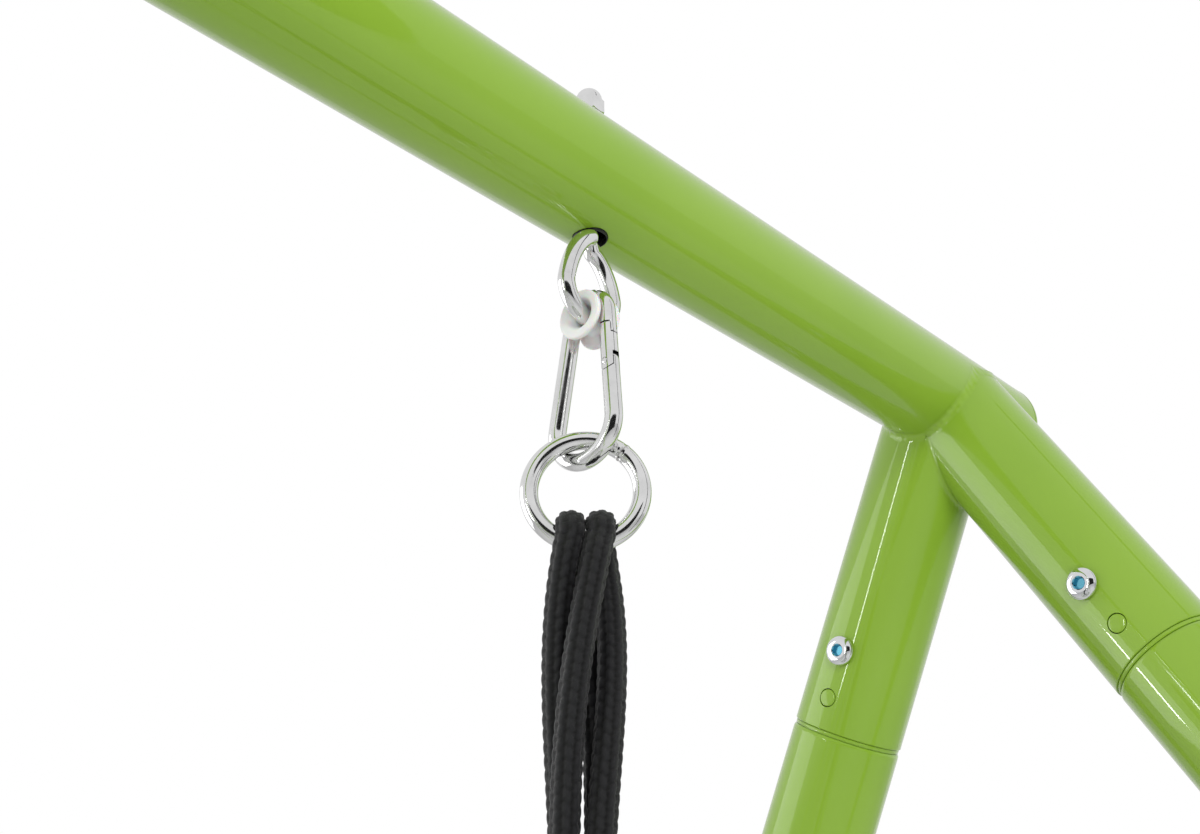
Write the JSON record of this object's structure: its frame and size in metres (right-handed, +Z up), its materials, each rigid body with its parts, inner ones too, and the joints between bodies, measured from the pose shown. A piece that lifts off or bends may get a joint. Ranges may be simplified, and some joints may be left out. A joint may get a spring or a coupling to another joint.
{
  "type": "nest swing set",
  "caption": "Free-standing tubular swing frame with a round padded rope nest hung from two ringed snap hooks on eye bolts.",
  "frame": {"origin": "on the ground, under the middle of the crossbar", "axes": "+X along the crossbar, +Y along the swinging direction, towards the rear legs, +Z up"},
  "size_m": [2.0806, 2.3154, 2.004],
  "materials": {
    "green_powder_coat": "glossy powder coat",
    "green_plastic": "moulded, satin",
    "zinc_plate": "bright zinc plate",
    "rim_steel": "galvanised",
    "black_plastic": "moulded, satin",
    "black_rubber": "matt",
    "white_nylon": "turned or moulded nylon",
    "black_rope": "braided polyester",
    "net_cord": "knotted cord net",
    "pad_fabric": "woven cover over foam"
  },
  "bodies": {
    "root": {"crossbar": "green_powder_coat", "end_cap_left": "green_plastic", "end_cap_right": "green_plastic", "leg_socket_left_front": "green_powder_coat", "leg_socket_left_rear": "green_powder_coat", "leg_socket_right_front": "green_powder_coat", "leg_socket_right_rear": "green_powder_coat", "upper_leg_left_front": "green_powder_coat", "upper_leg_left_rear": "green_powder_coat", "upper_leg_right_front": "green_powder_coat", "upper_leg_right_rear": "green_powder_coat", "lower_leg_left_front": "green_powder_coat", "lower_leg_left_rear": "green_powder_coat", "lower_leg_right_front": "green_powder_coat", "lower_leg_right_rear": "green_powder_coat", "foot_left_front": "black_rubber", "foot_left_rear": "black_rubber", "foot_right_front": "black_rubber", "foot_right_rear": "black_rubber", "socket_bolt_left_front": "zinc_plate", "socket_bolt_left_rear": "zinc_plate", "socket_bolt_right_front": "zinc_plate", "socket_bolt_right_rear": "zinc_plate", "leg_joint_bolt_left_front": "zinc_plate", "leg_joint_bolt_left_rear": "zinc_plate", "leg_joint_bolt_right_front": "zinc_plate", "leg_joint_bolt_right_rear": "zinc_plate", "eye_bolt_left": "zinc_plate", "eye_bolt_right": "zinc_plate", "hanger_washer_left": "zinc_plate", "hanger_washer_right": "zinc_plate", "hanger_lock_nut_left": "zinc_plate", "hanger_lock_nut_right": "zinc_plate", "hanger_cap_nut_left": "zinc_plate", "hanger_cap_nut_right": "zinc_plate", "bar_grommet_left": "black_plastic", "bar_grommet_right": "black_plastic"},
    "hanger_left": {"spool_bush_left": "white_nylon", "snap_hook_left": "zinc_plate", "gate_pin_left": "zinc_plate"},
    "gate_left": {"hook_gate_left": "zinc_plate"},
    "hanger_right": {"spool_bush_right": "white_nylon", "snap_hook_right": "zinc_plate", "gate_pin_right": "zinc_plate"},
    "gate_right": {"hook_gate_right": "zinc_plate"},
    "nest": {"ring_left": "zinc_plate", "ring_right": "zinc_plate", "rope_left_front": "black_rope", "rope_left_rear": "black_rope", "rope_right_front": "black_rope", "rope_right_rear": "black_rope", "rope_sleeve_left": "black_plastic", "rope_sleeve_right": "black_plastic", "nest_rim": "rim_steel", "rim_pad": "pad_fabric", "nest_net": "net_cord"},
    "button_left_front": {"snap_button_left_front": "green_powder_coat"},
    "button_left_rear": {"snap_button_left_rear": "green_powder_coat"},
    "button_right_front": {"snap_button_right_front": "green_powder_coat"},
    "button_right_rear": {"snap_button_right_rear": "green_powder_coat"}
  },
  "joints": [
    {"name": "swing_left", "type": "hinge", "parent": "root", "child": "hanger_left", "pos_m": [-0.4744, 0, 1.8754], "axis": [1, 0, 0], "range_deg": [-45, 45]},
    {"name": "swing_right", "type": "hinge", "parent": "root", "child": "hanger_right", "pos_m": [0.4744, 0, 1.8754], "axis": [1, 0, 0], "range_deg": [-45, 45]},
    {"name": "nest_tilt", "type": "hinge", "parent": "hanger_left", "child": "nest", "pos_m": [-0.4744, 0.0032, 1.8236], "axis": [1, 0, 0], "range_deg": [-12, 12]},
    {"name": "gate_left_open", "type": "hinge", "parent": "hanger_left", "child": "gate_left", "pos_m": [-0.4744, -0.01204, 1.8485], "axis": [-1, 0, 0], "range_deg": [0, 25], "stiffness_Nm_per_rad": 0.03, "springref_deg": -22.92},
    {"name": "gate_right_open", "type": "hinge", "parent": "hanger_right", "child": "gate_right", "pos_m": [0.4744, -0.01204, 1.8485], "axis": [-1, 0, 0], "range_deg": [0, 25], "stiffness_Nm_per_rad": 0.03, "springref_deg": -22.92},
    {"name": "button_left_front_press", "type": "slide", "parent": "root", "child": "button_left_front", "axis": [-0.9929, -0.027, 0.1156], "range_m": [0, 0.003], "stiffness_N_per_m": 1200, "springref_m": -0.003},
    {"name": "button_left_rear_press", "type": "slide", "parent": "root", "child": "button_left_rear", "axis": [-0.9929, 0.027, 0.1156], "range_m": [0, 0.003], "stiffness_N_per_m": 1200, "springref_m": -0.003},
    {"name": "button_right_front_press", "type": "slide", "parent": "root", "child": "button_right_front", "axis": [0.9929, -0.027, 0.1156], "range_m": [0, 0.003], "stiffness_N_per_m": 1200, "springref_m": -0.003},
    {"name": "button_right_rear_press", "type": "slide", "parent": "root", "child": "button_right_rear", "axis": [0.9929, 0.027, 0.1156], "range_m": [0, 0.003], "stiffness_N_per_m": 1200, "springref_m": -0.003}
  ],
  "couplings": [
    {"joint": "swing_right", "follows": "swing_left", "ratio": 1}
  ]
}
